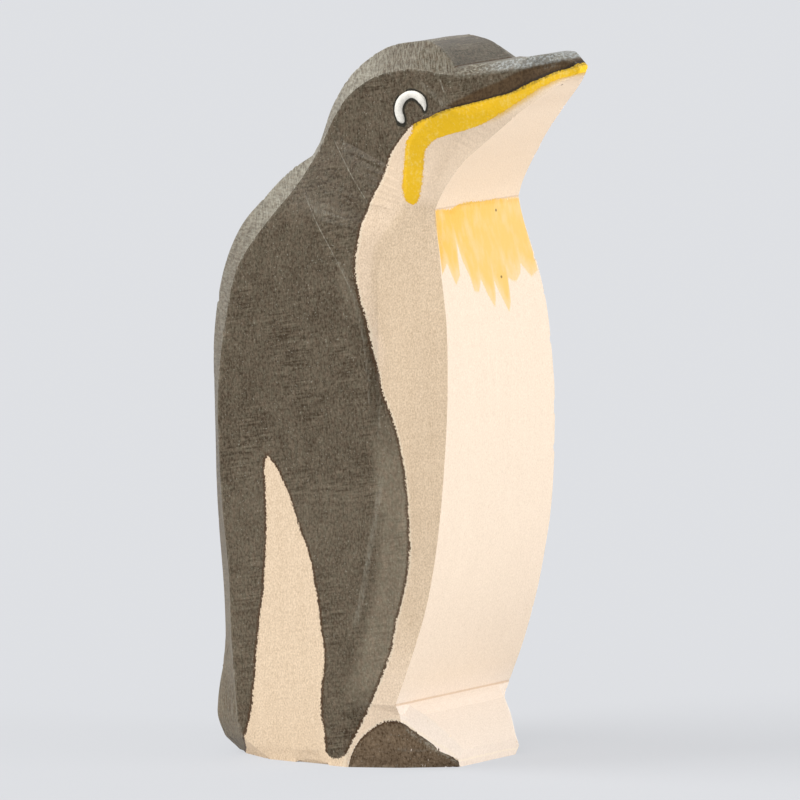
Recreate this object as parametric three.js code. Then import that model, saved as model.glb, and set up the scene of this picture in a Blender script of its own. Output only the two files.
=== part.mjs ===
// A wooden penguin, about 12 cm tall. One block of pale hardwood is sawn to its side outline and whittled
// to flat facets, and each eye is a thick stroke of white paint that stands up from the wood.
// Millimetres, +Z up. The penguin stands on Z = 0 and looks along -Y, with its right side at -X.

import * as THREE from 'three';
import { mergeVertices } from 'three/addons/utils/BufferGeometryUtils.js';

// Sizes across the block, from its right side to its left
const bodyThickness = 34;
const neckThickness = 28;
const headThickness = 24;
const toeWidth = 14.6;
const creaseWidth = 30;
const breastWidth = 29;
const throatWidth = 21.8;
const beakTipWidth = 1.8;
const browWidth = 14.2;
const crownWidth = 11;
const backWidth = 28;
const heelWidth = 26;

// Heights above the ground
const creaseHeight = 10.7;
const throatHeight = 91.9;
const napeHeight = 99.6;
const browHeight = 115;
const crownHeight = 118.7;
const beakTipHeight = 115.2;

// Reaches from the middle of the figure's depth, forward and back
const toeReach = 11;
const creaseReach = 3.9;
const breastReach = 15.7;
const throatReach = 11.7;
const browReach = 14.1;
const crownReach = 6.8;
const beakReach = 34.7;
const napeReach = 13.1;
const backReach = 33.5;
const tailReach = 34.7;
const heelReach = 30.2;

// How far a whittled facet stands proud at its middle
const footRound = 1;
const facetRound = 0.25;

// Each eye is an open hoop of paint on the flat of the cheek, behind the brow and this share up the face
const eyeSetback = 6;
const eyePlace = 0.697;
const eyeHalfWidth = 2.65;
const eyeHalfHeight = 2.5;
const eyeStroke = 1.5;
const eyeRise = 0.5;
const eyeBackLeg = 2;
const eyeFrontTaper = 0.45;
const eyeSteps = 20;

// Cuts between two neighbouring rows of an edge
const cutsPerRow = 3;

// Heights up the head, as a share of the way from the throat or the nape
const { lerp } = THREE.MathUtils;
const upFace = (share) => lerp(throatHeight, browHeight, share);
const upBeak = (share) => lerp(throatHeight, beakTipHeight, share);
const upCheek = (share) => lerp(napeHeight, browHeight, share);
const upCrown = (share) => lerp(napeHeight, crownHeight, share);

const side = bodyThickness / 2;
const neck = neckThickness / 2;
const cheek = headThickness / 2;

const bareWood = { color: 0xead9bd, roughness: 0.75, metalness: 0 };
const eyePaint = { color: 0xf0ebe6, roughness: 0.5, metalness: 0 };

// The edges between the facets run from the sole up the body and out along the beak to its tip. Each row
// of an edge is one cut across the block, the same cut on every edge, and gives half the width there, y
// and z. Corners are the rows where the edge turns sharply. The cheek is flat from its back row to its
// front row.
const rowCount = 24;
const toeTopRow = 1;
const creaseRow = 2;
const throatRow = 12;
const cheekBackRow = 14;
const cheekFrontRow = 17;
const browRow = 19;
const beakEndRow = 22;

// Front edge of the breast, the throat and the underside of the beak
const breastEdge = {
  corners: [toeTopRow, creaseRow, throatRow, beakEndRow],
  rows: [
    [toeWidth / 2, -toeReach + 0.2, 0],
    [toeWidth / 2 + 1.3, -toeReach - 0.3, 2.8],
    [creaseWidth / 2, -creaseReach, creaseHeight],
    [creaseWidth / 2, -creaseReach - 3.4, creaseHeight + 7.5],
    [breastWidth / 2 + 0.2, -breastReach + 4.5, 28.8],
    [breastWidth / 2 + 0.2, -breastReach + 1.5, 43],
    [breastWidth / 2 - 0.5, -breastReach, 61],
    [breastWidth / 2 - 1.4, -breastReach + 0.5, 74],
    [breastWidth / 2 - 2.1, -breastReach + 1.8, 81],
    [throatWidth / 2 + 0.9, -throatReach - 1.4, throatHeight - 7.2],
    [throatWidth / 2 + 0.5, -throatReach - 0.7, throatHeight - 4.3],
    [throatWidth / 2 + 0.1, -throatReach - 0.3, throatHeight - 1.9],
    [throatWidth / 2, -throatReach, throatHeight],
    [throatWidth / 2 - 0.3, -throatReach - 1.1, upBeak(0.1)],
    [throatWidth / 2 - 0.7, -throatReach - 3.1, upBeak(0.228)],
    [throatWidth / 2 - 1.3, -throatReach - 5.4, upBeak(0.348)],
    [throatWidth / 2 - 2.6, -throatReach - 8, upBeak(0.455)],
    [throatWidth / 2 - 3.9, -throatReach - 11.1, upBeak(0.575)],
    [throatWidth / 2 - 4.4, -throatReach - 12.7, upBeak(0.635)],
    [throatWidth / 2 - 5, -beakReach + 8.8, upBeak(0.695)],
    [beakTipWidth / 2 + 3.6, -beakReach + 5.8, upBeak(0.79)],
    [beakTipWidth / 2 + 2.2, -beakReach + 3, upBeak(0.884)],
    [beakTipWidth / 2 + 0.9, -beakReach + 1.5, beakTipHeight - 1.8],
    [beakTipWidth / 2, -beakReach + 0.4, beakTipHeight - 0.9],
  ],
};

// Edge between the slanting front of the flank and the side, then the lower edge of the cheek
const flankEdge = {
  corners: [creaseRow, throatRow, cheekBackRow, cheekFrontRow],
  rows: [
    [side - 0.5, 5.5, 0],
    [side - 0.2, 5.8, 3.5],
    [side, 6.5, creaseHeight],
    [side, 4.8, 18],
    [side, 0.8, 29],
    [side - 0.1, -2.6, 42.5],
    [side - 0.8, -3.2, 61],
    [side - 1.5, -2.9, 74],
    [side - 2, -2.7, 80.5],
    [neck + 0.6, -3.1, throatHeight - 6.9],
    [neck, -4.7, throatHeight - 4.3],
    [cheek + 1.3, -6.3, throatHeight - 2],
    [cheek + 0.6, -7.3, throatHeight + 0.2],
    [cheek + 0.4, -7.2, upFace(0.113)],
    [cheek, -6.9, upFace(0.307)],
    [cheek, -browReach + 5.9, upFace(0.485)],
    [cheek, -browReach + 2.4, upFace(0.632)],
    [cheek, -browReach - 0.8, upFace(0.74)],
    [cheek - 1.4, -browReach - 2.4, upFace(0.78)],
    [cheek - 3, -browReach - 4, upFace(0.818)],
    [cheek - 6, -browReach - 9, upFace(0.93)],
    [beakTipWidth / 2 + 2.2, -beakReach + 5.7, beakTipHeight - 0.1],
    [beakTipWidth / 2 + 0.9, -beakReach + 2.4, beakTipHeight + 0.4],
    [beakTipWidth / 2 + 0.1, -beakReach + 0.3, beakTipHeight - 0.6],
  ],
};

// Upper rear edge of the side, up the back and shoulder, then along the top of the cheek and beak
const backEdge = {
  corners: [creaseRow, throatRow, cheekBackRow, cheekFrontRow],
  rows: [
    [side - 0.6, heelReach - 8.7, 0],
    [side, backReach - 6.8, 3.5],
    [side, backReach - 5.6, 6.2],
    [side, backReach - 4.8, 18.5],
    [side, backReach - 4.6, 30],
    [side, backReach - 3.6, 42.3],
    [side, backReach - 3.3, 58.8],
    [side, backReach - 5, 70],
    [side, backReach - 8.2, 81],
    [side - 0.1, napeReach + 8.4, napeHeight - 13.5],
    [side - 0.5, napeReach + 4, napeHeight - 8.7],
    [side - 1.5, napeReach + 0.3, napeHeight - 4.6],
    [neck - 0.4, napeReach - 1.9, napeHeight - 0.4],
    [neck - 1.2, napeReach - 2.9, upCheek(0.117)],
    [cheek, napeReach - 4.9, upCheek(0.403)],
    [cheek, napeReach - 8.1, upCheek(0.656)],
    [cheek, -browReach + 13.2, upCheek(0.883)],
    [cheek, -browReach + 6.1, upCheek(0.987)],
    [cheek - 0.6, -browReach + 2.8, browHeight - 0.5],
    [browWidth / 2 + 3.3, -browReach - 0.3, browHeight - 1],
    [browWidth / 2 - 0.5, -browReach - 7, browHeight - 0.6],
    [beakTipWidth / 2 + 2.4, -beakReach + 6.1, beakTipHeight + 0.6],
    [beakTipWidth / 2 + 1.1, -beakReach + 2.6, beakTipHeight + 1.3],
    [beakTipWidth / 2 + 0.1, -beakReach + 0.1, beakTipHeight - 0.1],
  ],
};

// Edge of the flat back, then of the flat on top of the head and beak
const spineEdge = {
  corners: [toeTopRow, throatRow, cheekFrontRow, browRow, beakEndRow],
  rows: [
    [heelWidth / 2, heelReach, 0],
    [heelWidth / 2 + 0.5, tailReach - 1.2, 2.6],
    [backWidth / 2, tailReach, 6.5],
    [backWidth / 2, backReach - 1, 18.4],
    [backWidth / 2, backReach - 0.9, 28.4],
    [backWidth / 2, backReach - 0.2, 41.7],
    [backWidth / 2, backReach - 0.2, 58.3],
    [backWidth / 2, backReach - 0.6, 70],
    [backWidth / 2 - 0.5, backReach - 2.4, 79.9],
    [backWidth / 2 - 1, backReach - 6.2, napeHeight - 12.1],
    [backWidth / 2 - 1.5, backReach - 10.7, napeHeight - 7.4],
    [neck - 2, napeReach + 4.5, napeHeight - 2.7],
    [neck - 2.5, napeReach, napeHeight],
    [neck - 3.5, napeReach - 1, upCrown(0.126)],
    [cheek - 3.5, napeReach - 2.1, upCrown(0.42)],
    [cheek - 4.8, napeReach - 5.5, upCrown(0.7)],
    [crownWidth / 2 + 0.3, -crownReach + 8, upCrown(0.932)],
    [crownWidth / 2, -crownReach, crownHeight],
    [browWidth / 2 - 0.7, -browReach + 3.3, browHeight + 2.6],
    [browWidth / 2, -browReach, browHeight],
    [browWidth / 2 - 2.6, -browReach - 7.4, browHeight + 0.9],
    [beakTipWidth / 2 + 2.1, -beakReach + 6.2, beakTipHeight + 2],
    [beakTipWidth / 2 + 0.7, -beakReach + 2.9, beakTipHeight + 2.1],
    [beakTipWidth / 2, -beakReach, beakTipHeight],
  ],
};

// A facet edge that shows on some rows only. Before and after them it lies in the flat between two others.
function partEdge(firstRow, shownRows, before, after) {
  const lastRow = firstRow + shownRows.length - 1;
  const rows = [];
  for (let row = 0; row < rowCount; row += 1) {
    if (row < firstRow) rows.push(between(before, row));
    else if (row > lastRow) rows.push(between(after, row));
    else rows.push(shownRows[row - firstRow]);
  }
  const corners = new Set([firstRow, lastRow, cheekBackRow, cheekFrontRow]);
  return { corners: [...corners].sort((a, b) => a - b), rows };
}

function between({ front, back, share }, row) {
  return front.rows[row].map((value, axis) => lerp(value, back.rows[row][axis], share));
}

// Edge of the wing, from the breast up and back over the shoulder to the nape
const wingEdge = partEdge(
  6,
  [
    [side, -1.9, 60.5],
    [side, -0.9, 71.2],
    [side, 1.6, 79.4],
    [side, 4.8, 84.8],
    [side - 0.3, napeReach - 5.1, napeHeight - 9.8],
    [side - 1.3, napeReach - 2.5, napeHeight - 6.2],
    [neck - 0.1, napeReach - 3.9, napeHeight - 2.2],
    [neck - 1, napeReach - 4.5, upCheek(0.04)],
    [cheek, napeReach - 5.9, upCheek(0.3)],
  ],
  { front: flankEdge, back: backEdge, share: 0.1 },
  { front: flankEdge, back: backEdge, share: 0.7 },
);

// Faint edge down the side, from the shoulder to the foot
const rearEdge = partEdge(
  3,
  [
    [side, 8.5, 19],
    [side, 8.5, 31],
    [side, 11.4, 42.3],
    [side, 15.2, 59],
    [side, 18, 72],
    [side, 21, 81.8],
  ],
  { front: wingEdge, back: backEdge, share: 0.2 },
  { front: wingEdge, back: backEdge, share: 0.5 },
);

// Edge round the neck, from the throat up and back to the nape
const neckEdge = partEdge(
  throatRow,
  [
    [neck, -0.7, throatHeight + 0.9],
    [neck - 0.6, 3.7, upFace(0.247)],
    [cheek, 6.4, upFace(0.463)],
  ],
  { front: flankEdge, back: wingEdge, share: 0.5 },
  { front: flankEdge, back: backEdge, share: 0.4 },
);

// Middle of the slanting front of the flank, which is whittled a little round
const flankMiddle = {
  corners: [toeTopRow, creaseRow, throatRow, cheekBackRow, cheekFrontRow],
  rows: breastEdge.rows.map((front, row) => {
    const back = flankEdge.rows[row];
    const round = row < creaseRow ? footRound : facetRound;
    const share = Math.min(1, Math.hypot(back[0] - front[0], back[1] - front[1]) / side);
    return front.map((value, axis) => (value + back[axis]) / 2 + (axis === 0 ? round * share : 0));
  }),
};

// Points along one edge, smooth between its corners, none of them past the sawn side
function pointsAlong({ rows, corners }) {
  const rowPoints = rows.map(([x, y, z]) => new THREE.Vector3(x, y, z));
  const ends = [0, ...corners, rowCount - 1];
  const points = [rowPoints[0]];
  for (let i = 0; i < ends.length - 1; i += 1) {
    const stretch = rowPoints.slice(ends[i], ends[i + 1] + 1);
    const curve = new THREE.CatmullRomCurve3(stretch, false, 'centripetal');
    points.push(...curve.getPoints((stretch.length - 1) * cutsPerRow).slice(1));
  }
  for (const point of points) point.x = Math.min(point.x, side);
  return points;
}

// The carved block: each cut is a ring of points, front to back on one side and back to front on the
// other, and neighbouring rings are joined all the way round.
function carvedBlock() {
  const edges = [breastEdge, flankMiddle, flankEdge, neckEdge, wingEdge, rearEdge, backEdge, spineEdge];
  const lines = edges.map(pointsAlong);
  const cutCount = lines[0].length;
  const ringCount = 2 * lines.length;
  const positions = [];
  for (let cut = 0; cut < cutCount; cut += 1) {
    for (const line of lines) positions.push(line[cut].x, line[cut].y, line[cut].z);
    for (const line of [...lines].reverse()) positions.push(-line[cut].x, line[cut].y, line[cut].z);
  }
  const faces = [];
  const quad = (a, b, c, d) => faces.push(a, b, c, a, c, d);
  for (let cut = 0; cut < cutCount - 1; cut += 1) {
    for (let i = 0; i < ringCount; i += 1) {
      const next = (i + 1) % ringCount;
      const low = cut * ringCount;
      const high = low + ringCount;
      if (i < lines.length) quad(low + i, low + next, high + next, high + i);
      else quad(high + i, low + i, low + next, high + next);
    }
  }
  const tip = (cutCount - 1) * ringCount;
  for (let i = 0; i < lines.length - 1; i += 1) {
    const mirror = ringCount - 1 - i;
    quad(i, mirror, mirror - 1, i + 1);
    quad(tip + i, tip + i + 1, tip + mirror - 1, tip + mirror);
  }
  const geometry = new THREE.BufferGeometry();
  geometry.setAttribute('position', new THREE.Float32BufferAttribute(positions, 3));
  geometry.setIndex(faces);
  geometry.computeVertexNormals();
  return geometry;
}

// The stroke's middle line starts at the front leg, goes over the top and down the back leg. The stroke
// is full behind and tapers to the front leg. Forward is +x in the shape, or -x for the other cheek.
function eyeShape(forward) {
  const path = new THREE.Path();
  path.absellipse(0, 0, eyeHalfWidth, eyeHalfHeight, 0, Math.PI, false);
  path.quadraticCurveTo(-eyeHalfWidth, -eyeBackLeg / 2, -eyeHalfWidth + eyeStroke / 2, -eyeBackLeg);
  const outer = [];
  const inner = [];
  for (let i = 0; i <= eyeSteps; i += 1) {
    const share = i / eyeSteps;
    const point = path.getPointAt(share);
    const tangent = path.getTangentAt(share);
    const half = (eyeStroke / 2) * Math.min(1, eyeFrontTaper + share * 2);
    outer.push(new THREE.Vector2(forward * (point.x + tangent.y * half), point.y - tangent.x * half));
    inner.push(new THREE.Vector2(forward * (point.x - tangent.y * half), point.y + tangent.x * half));
  }
  return new THREE.Shape([...outer, ...inner.reverse()]);
}

function eye(name, sideSign) {
  const geometry = new THREE.ExtrudeGeometry(eyeShape(-sideSign), { depth: eyeRise, bevelEnabled: false });
  geometry.rotateX(Math.PI / 2);
  const mesh = new THREE.Mesh(geometry, new THREE.MeshStandardMaterial(eyePaint));
  mesh.name = name;
  mesh.rotation.z = (sideSign * Math.PI) / 2;
  mesh.position.set(sideSign * cheek, -browReach + eyeSetback, upFace(eyePlace));
  return mesh;
}

const figure = new THREE.Mesh(mergeVertices(carvedBlock()), new THREE.MeshStandardMaterial(bareWood));
figure.name = 'wooden_figure';

const penguin = new THREE.Group();
penguin.add(figure, eye('right_eye_paint', -1), eye('left_eye_paint', 1));

export default penguin;
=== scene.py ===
import math
from functools import partial, reduce
from types import SimpleNamespace

import bmesh
import bpy
from mathutils import Matrix, Vector, kdtree, noise
from mathutils.bvhtree import BVHTree
from mathutils.geometry import intersect_point_line


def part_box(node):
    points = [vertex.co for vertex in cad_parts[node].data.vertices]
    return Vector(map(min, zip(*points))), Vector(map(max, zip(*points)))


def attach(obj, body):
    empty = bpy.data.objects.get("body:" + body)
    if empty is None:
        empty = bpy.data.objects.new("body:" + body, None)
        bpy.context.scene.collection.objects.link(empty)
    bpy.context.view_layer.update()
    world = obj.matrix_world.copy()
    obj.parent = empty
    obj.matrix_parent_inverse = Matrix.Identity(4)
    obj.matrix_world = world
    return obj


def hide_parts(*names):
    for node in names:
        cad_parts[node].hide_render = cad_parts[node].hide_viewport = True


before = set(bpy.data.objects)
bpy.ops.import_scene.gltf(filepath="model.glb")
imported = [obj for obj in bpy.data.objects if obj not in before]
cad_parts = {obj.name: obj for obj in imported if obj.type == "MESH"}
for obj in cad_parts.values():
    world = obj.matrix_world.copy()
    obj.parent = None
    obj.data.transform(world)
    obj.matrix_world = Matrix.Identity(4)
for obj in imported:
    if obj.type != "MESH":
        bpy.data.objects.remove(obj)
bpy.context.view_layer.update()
print("frame loaded")

mm = 0.001  # sizes below are written in millimetres


# The view, from the penguin's right and a little above

viewpoint = {
    "lookAt": (0, 5.5, 58.5),
    "azimuth": -51,  # degrees round from the front
    "elevation": 7.5,
    "distance": 2200,
    "lean": 1.6,  # degrees that the picture's right side is raised
    "lens": 604.9,
    "clip": (0.1, 30),  # nearest and farthest that is seen, in metres
}


def addCamera():
    around = math.radians(viewpoint["azimuth"])
    above = math.radians(viewpoint["elevation"])
    lean = math.radians(viewpoint["lean"])
    level = Vector((math.sin(around), -math.cos(around), 0))
    back = level * math.cos(above) + Vector((0, 0, math.sin(above)))
    right = Vector((math.cos(around), math.sin(around), 0))
    up = back.cross(right)
    turn = Matrix((
        right * math.cos(lean) - up * math.sin(lean),
        right * math.sin(lean) + up * math.cos(lean),
        back,
    )).transposed()
    data = bpy.data.cameras.new("viewpoint")
    data.lens = viewpoint["lens"]
    data.clip_start, data.clip_end = viewpoint["clip"]
    camera = bpy.data.objects.new("viewpoint", data)
    place = (Vector(viewpoint["lookAt"]) + back * viewpoint["distance"]) * mm
    camera.matrix_world = Matrix.Translation(place) @ turn.to_4x4()
    bpy.context.scene.collection.objects.link(camera)
    bpy.context.scene.camera = camera


addCamera()
bpy.context.scene.view_settings.view_transform = "Standard"
print("camera placed")


# Helpers that build materials from nodes; a value is the output of a node or a plain number

def tint(red, green, blue):
    # a colour as a screen shows it, 0 to 255, turned into the light values that a shader takes
    shares = [value / 255 for value in (red, green, blue)]
    return tuple(s / 12.92 if s <= 0.04045 else ((s + 0.055) / 1.055) ** 2.4 for s in shares) + (1,)


def addNode(tree, kind, inputs=None, **settings):
    node = tree.nodes.new("ShaderNode" + kind)
    for name, value in settings.items():
        setattr(node, name, value)
    for name, value in (inputs or {}).items():
        if isinstance(value, bpy.types.NodeSocket):
            tree.links.new(value, node.inputs[name])
        else:
            node.inputs[name].default_value = value
    return node


def calc(operation, *values):
    # at least one of the values is an output, and its tree takes the new node
    tree = next(value.id_data for value in values if isinstance(value, bpy.types.NodeSocket))
    return addNode(tree, "Math", dict(enumerate(values)), operation=operation).outputs[0]


def both(*values):
    return reduce(partial(calc, "MULTIPLY"), values)


def plus(*values):
    return reduce(partial(calc, "ADD"), values)


def most(*values):
    return reduce(partial(calc, "MAXIMUM"), values)


def no(value):
    return calc("SUBTRACT", 1.0, value)


def absolute(value):
    return calc("ABSOLUTE", value)


def scaled(value, factor, start):
    return calc("MULTIPLY_ADD", value, factor, start)


def fade(value, start, full):
    # 0 before start, 1 past full, which may lie on either side of it
    inputs = {"Value": value, "From Min": start, "From Max": full}
    return addNode(value.id_data, "MapRange", inputs, interpolation_type="SMOOTHSTEP").outputs[0]


def past(gap, reach=0.1):
    return fade(gap, -reach, reach)


def near(gap, halfWidth, core=0.3):
    # core is the share of the width that shows in full
    return fade(absolute(gap), halfWidth, halfWidth * core)


def blend(share, under, over):
    return addNode(share.id_data, "Mix", {0: share, 6: under, 7: over}, data_type="RGBA").outputs[2]


def shaded(colour, share):
    # the colour made lighter by that share of itself, where lighter is cooler and darker is browner
    parts = [scaled(share, weight, 1.0) for weight in (1.0, 1.14, 1.36)]
    lighter = addNode(share.id_data, "CombineXYZ", dict(enumerate(parts))).outputs[0]
    return addNode(share.id_data, "VectorMath", {0: colour, 1: lighter}, operation="MULTIPLY").outputs[0]


def speckle(place, name):
    # noise around 0, from about -0.5 to 0.5
    size, detail, shift, tilt = speckles[name]
    turn = (math.radians(-tilt), 0, 0)
    inputs = {"Vector": place, "Location": (shift,) * 3, "Rotation": turn, "Scale": size}
    stretched = addNode(place.id_data, "Mapping", inputs, vector_type="TEXTURE").outputs[0]
    inputs = {"Vector": stretched, "Scale": 1.0, "Detail": detail}
    return calc("SUBTRACT", addNode(place.id_data, "TexNoise", inputs).outputs[0], 0.5)


def drawnLine(along, points, handles):
    # a drawn line: for each place along it, how far it reaches
    tree = along.id_data
    starts = [point[0] for point in points]
    reaches = [point[1] for point in points]
    low, high = min(reaches), max(reaches)
    across = addNode(tree, "MapRange", {"Value": along, "From Min": starts[0], "From Max": starts[-1]})
    node = addNode(tree, "FloatCurve", {"Value": across.outputs[0]})
    curve = node.mapping.curves[0]
    while len(curve.points) < len(points):
        curve.points.new(0.5, 0.5)
    for spot, (start, reach) in zip(curve.points, points):
        spot.location = ((start - starts[0]) / (starts[-1] - starts[0]), (reach - low) / (high - low))
        spot.handle_type = handles
    node.mapping.update()
    return addNode(tree, "MapRange", {"Value": node.outputs[0], "To Min": low, "To Max": high}).outputs[0]


def newMaterial(name):
    material = bpy.data.materials.new(name)
    material.use_nodes = True
    tree = material.node_tree
    shader = tree.nodes["Principled BSDF"]
    inputs = {0: addNode(tree, "TexCoord").outputs["Object"], "Scale": 1 / mm}
    place = addNode(tree, "VectorMath", inputs, operation="SCALE").outputs[0]
    return material, tree, shader, place


# Where the stains meet, measured up the figure and back from its middle

stainLines = {
    # height, then the foremost reach of the dark stain on the side
    "wingFront": [
        (0, 6.4), (5.4, 3.7), (9.8, 1.1), (14.1, -1.3), (19.4, -3.7), (24.1, -5.1), (29.7, -6.9),
        (35.2, -8.2), (39.5, -8.5), (46.2, -8.3), (50.3, -7.8), (56.1, -6.4), (59.4, -5.2), (62.6, -3.8),
        (68.8, -2.4), (74.6, -1.2), (78.3, 0.2), (82.8, 1.0), (87.3, 0.7), (89.9, 0.3), (93, -0.7),
        (95.5, -1.9), (100.6, -3.8), (104, -6.6), (106.2, -9.4), (107.2, -12.1), (108.1, -14.1),
        (108.9, -16.6), (109.5, -18.8), (110.2, -21.2), (110.9, -23.7), (111.8, -25.7), (112.9, -27.6),
        (114.5, -31.1), (115.8, -34.2), (118.7, -36),
    ],
    # the bare wedge between wing and tail
    "wedgeFront": [
        (0, 10.3), (4.7, 9.8), (9.8, 10.2), (18.3, 9.2), (23.7, 9.8), (29.1, 10.5), (34, 11.6),
        (39.8, 13.9), (44.3, 15.6), (48.7, 18.2), (50.4, 19.8), (52, 22),
    ],
    "wedgeBack": [
        (0, 29.5), (3.8, 26.5), (9, 24.8), (14.2, 23.9), (19.8, 23.2), (24.8, 22.3), (30, 21.4),
        (35.5, 20.8), (44.4, 20.5), (49.4, 20.5), (50.4, 20), (52, 18),
    ],
    # distance back, then height: the round lower end of the wing, and the patch on the foot
    "wingTip": [(4, 2.4), (5.8, 1.7), (8, 1.2), (9.8, 2.2), (10.5, 3.2), (14, -3)],
    "footTop": [
        (-11.6, -0.5), (-10.2, 2.2), (-9, 3.4), (-7.7, 4.5), (-5.2, 6.7), (-3.9, 7.8), (-2.1, 8),
        (-1.1, 7.7), (0.3, 7), (1.9, 5.8), (3.4, 4.1), (4.4, 2.5), (5.2, 0.2), (7, -3),
    ],
    # place across, then the hind edge of the facet above the beak; distance back, then where the specks start
    "browEdge": [(0, -7.6), (5.5, -8.3), (7.6, -14.5), (9, -18.6)],
    "beakSpecks": [(-36, 116.8), (-29, 115.2), (-24.5, 114.6), (-21, 114.2), (-17.3, 113.6), (-14, 113.4)],
    "beakShade": [
        (-36, 117.2), (-31.5, 116.2), (-29.1, 115.7), (-26.7, 115.1), (-24.5, 114.2), (-22.4, 113),
        (-19.5, 111.7), (-17.3, 110.4), (-14, 108.4),
    ],
    # height, then the hind and fore edges of the yellow band on the cheek and beak
    "bandBack": [
        (92.6, -8.3), (93, -7.6), (93.8, -6.8), (96.2, -6.2), (99.4, -6.4), (102.2, -6.9), (103.5, -7.5),
        (104.6, -8.3), (106, -8.6), (119, -8.6),
    ],
    "bandFront": [
        (92.6, -8.1), (93, -8.8), (94.8, -9.5), (97.9, -9.9), (101, -10.2), (103, -11.8), (104.2, -14.4),
        (105.1, -17.6), (106.3, -20.6), (107.8, -22.9), (109.3, -25.1), (110.6, -27), (111.9, -28.9),
        (113.3, -31.6), (114.1, -34.1), (115, -36), (119, -36),
    ],
    # height, then place back: where the painted light on the side of the neck ends, and a faint darker streak
    # on the throat
    "neckShade": [
        (60, 12), (64, -3), (67.6, -4.9), (72.4, -3.6), (77.2, -2.6), (82.1, -2.3), (85.5, -2.7),
        (87.9, -4), (90.2, -5.5), (92.7, -7.3), (96, -9),
    ],
    "throatShade": [(93, -10.2), (95.8, -11.2), (100.1, -13.8), (104.4, -16.2), (108, -18)],
    # height, then place back: fine scratches up the wing, neck and cheek, and a fibrous rub lower down
    "wingLine": [(76, -0.2), (78, 0.9), (83.9, 4.5), (89.6, 8.5), (94.6, 12.1)],
    "neckLine": [(92.5, -0.5), (97.5, 3.8), (103.5, 8.4)],
    "cheekLine": [(111.1, -14.5), (112.2, -13.9), (113.4, -13.4)],
    "rubbedLine": [(22, 3.3), (29, 0.8), (33.7, -0.4), (39.2, -1.8), (45.5, -3.1), (50, -3.8)],
    # place across the breast, then height: the upper edge of the bib, and its brushed lower edge
    "bibTop": [
        (-12.5, 91.8), (-10.3, 91.8), (-7.3, 91.6), (-4, 92.3), (1.6, 92.1), (10.5, 91.6), (12.5, 91.5),
    ],
    "bibLow": [
        (-13, 84), (-12.2, 81.5), (-11.5, 82), (-10.3, 83.2), (-9.6, 81.1), (-9, 79.7), (-7.6, 81),
        (-7.2, 84), (-6.8, 86), (-6.3, 83.2), (-5.2, 80.4), (-4.8, 78.2), (-3.7, 77.8), (-2.6, 79.8),
        (-1.5, 77.1), (-0.1, 74.9), (0.5, 77), (0.7, 79.2), (2, 76.3), (3.4, 73.8), (4.1, 75.4),
        (4.4, 79.3), (5.5, 78.6), (6.5, 78.5), (7.8, 79.7), (8.3, 81.2), (9.7, 79.5), (10.5, 78.8),
        (12.5, 79.8), (13, 82),
    ],
}

stainColours = {
    "wood": (231, 207, 177),
    "breast": (233, 213, 190),
    "neck": (233, 209, 181),
    "throat": (236, 213, 186),
    "instep": (234, 217, 199),
    "fleck": (196, 160, 122),
    "cutLine": (244, 228, 202),
    "dark": (93, 79, 62),
    "darkGreen": (89, 80, 63),
    "footStain": (111, 92, 70),
    "cool": (172, 178, 174),
    "rim": (72, 46, 20),
    "beakLine": (38, 28, 14),
    "wearAndSheen": (176, 172, 156),
    "frosted": (178, 183, 181),
    "beakShade": (62, 42, 16),
    "beakBrown": (84, 62, 34),
    "olive": (116, 96, 34),
    "band": (240, 191, 26),
    "bandPale": (245, 208, 96),
    "bandRim": (206, 146, 10),
    "bandWash": (226, 186, 104),
    "bib": (231, 191, 108),
    "bibDense": (229, 182, 76),
    "bibEdge": (222, 166, 52),
    "knot": (88, 66, 44),
    "eyeRim": (30, 28, 16),
}

colours = {name: tint(*shown) for name, shown in stainColours.items()}

knots = [(-1.9, -31.5, 112.3), (8, -11, 3.1), (4.6, -12, 90.2), (2.8, -14.2, 79.6)]

# distance back and height of the inner corners that the saw left across the block
sawnCorners = [(-3.9, 10.7), (-11.7, 91.9), (-14.1, 115), (13.1, 99.6)]

# a spot's length on each axis, the detail, a shift that keeps the patterns apart, and the tilt in degrees
speckles = {
    "waver": ((3, 3, 3), 1, 0, 0),
    "bleed": ((0.28, 0.28, 0.34), 2, 7, 0),
    "grit": ((0.22, 0.22, 0.3), 2, 2, 0),
    "rings": ((1.1, 1.6, 70), 2, 3, 0),
    "fibres": ((0.2, 0.2, 1.6), 2, 5, 0),
    "flecks": ((0.3, 0.3, 0.9), 1, 11, 0),
    "mottle": ((0.42, 0.42, 0.5), 3, 23, 0),
    "clouds": ((3, 3, 5), 3, 29, 0),
    "sanding": ((4, 4, 0.3), 2, 17, 10),
    "sandedPart": ((9, 9, 12), 1, 19, 0),
    "hue": ((0.8, 0.8, 1.1), 2, 43, 0),
    "pits": ((0.3, 0.3, 0.3), 1, 47, 0),
    "combedUp": ((1.5, 0.24, 1.5), 2, 53, 0),
    "combedBack": ((1.5, 1.5, 0.3), 2, 61, 0),
    "specks": ((0.46, 0.46, 0.36), 3, 59, 0),
    "patches": ((0.35, 0.35, 1.2), 2, 31, 0),
    "brushed": ((0.9, 0.9, 3.5), 3, 37, 0),
    "paintRidges": ((0.5, 0.35, 0.35), 2, 41, 0),
}

# the noise's value where a pattern's spots start and where they are in full
spotRanges = {
    "flecks": (0.2, 0.28),
    "sandedPart": (-0.1, 0.15),
    "hue": (-0.3, 0.3),
    "pits": (0.17, 0.27),
    "combedUp": (-0.2, 0.25),
    "combedBack": (-0.2, 0.25),
    "specks": (-0.08, 0.18),
    "patches": (-0.15, 0.25),
    "beakBrown": (-0.8, 0.8),
    "bandPale": (-0.1, 0.5),
}

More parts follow.
